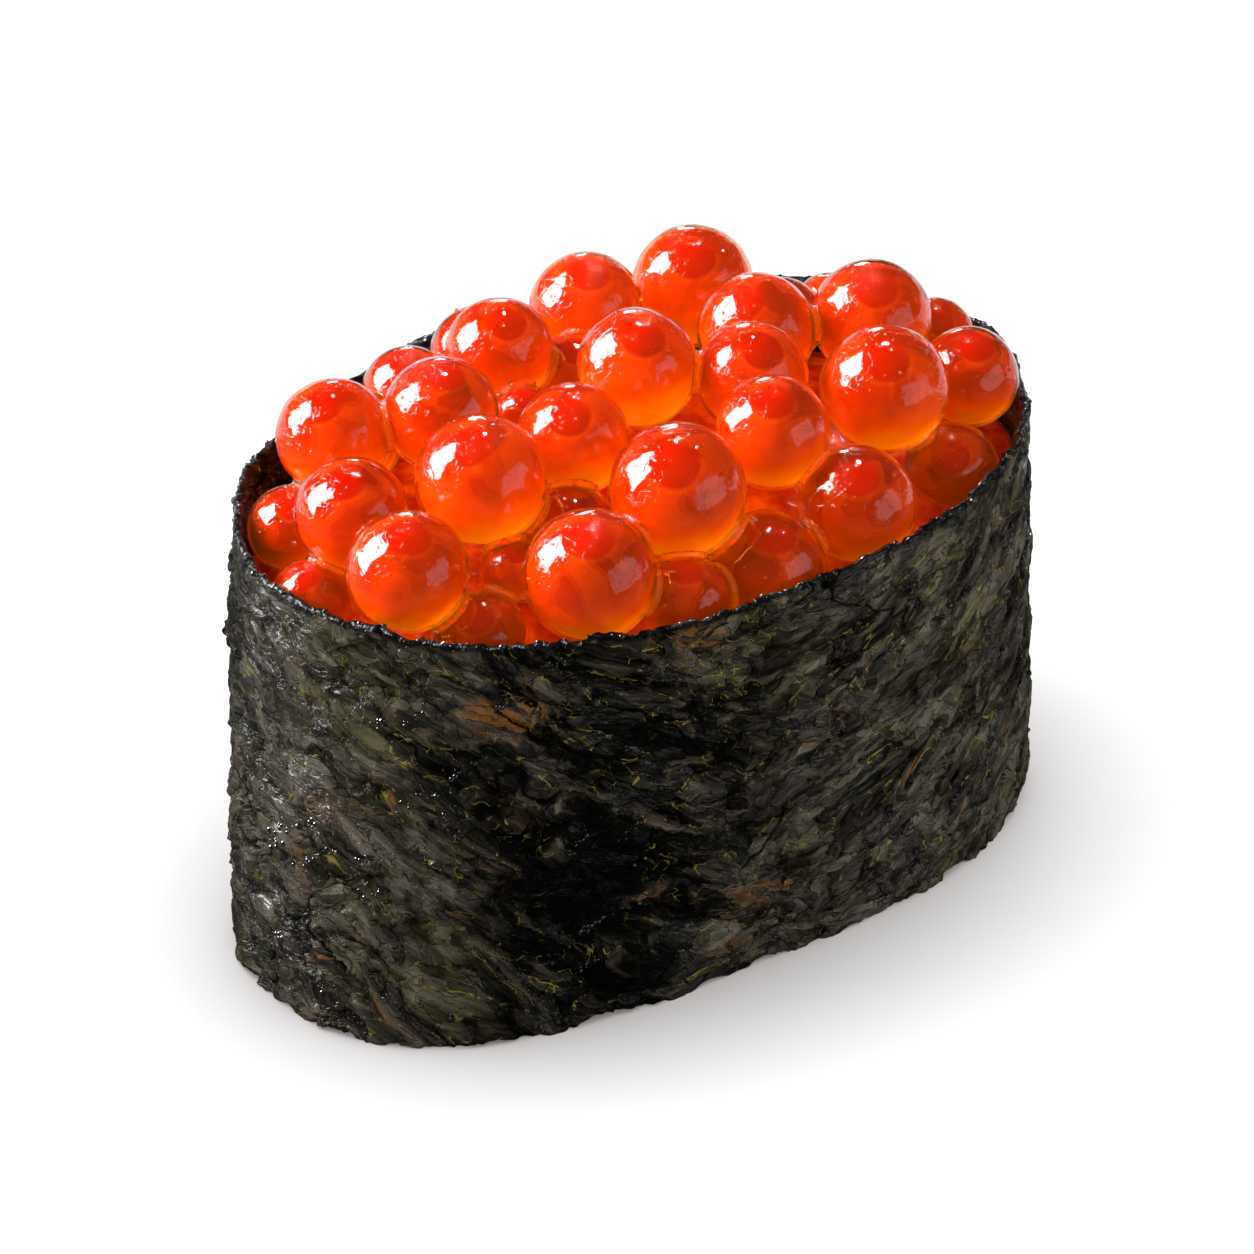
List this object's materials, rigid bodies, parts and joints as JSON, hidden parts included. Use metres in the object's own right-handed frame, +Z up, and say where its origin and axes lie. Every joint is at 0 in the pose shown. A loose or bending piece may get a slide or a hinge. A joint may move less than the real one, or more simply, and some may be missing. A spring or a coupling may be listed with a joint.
{
  "type": "gunkan sushi",
  "caption": "Oval block of pressed rice in a tall crinkled seaweed belt, with a heap of glossy salmon roe standing above the rim.",
  "frame": {"origin": "centre of the underside, on the surface that the sushi stands on", "axes": "+X along the long side, +Y across the short side towards the back, +Z up"},
  "size_m": [0.0506, 0.0342, 0.0347],
  "materials": {
    "nori": "crinkled, satin, slightly damp",
    "rice": "moist, softly glossy grains",
    "roe": "wet, clear orange-red with a high gloss"
  },
  "bodies": {
    "root": {"nori_belt": "nori", "rice_block": "rice", "roe_heap": "roe"}
  },
  "joints": []
}
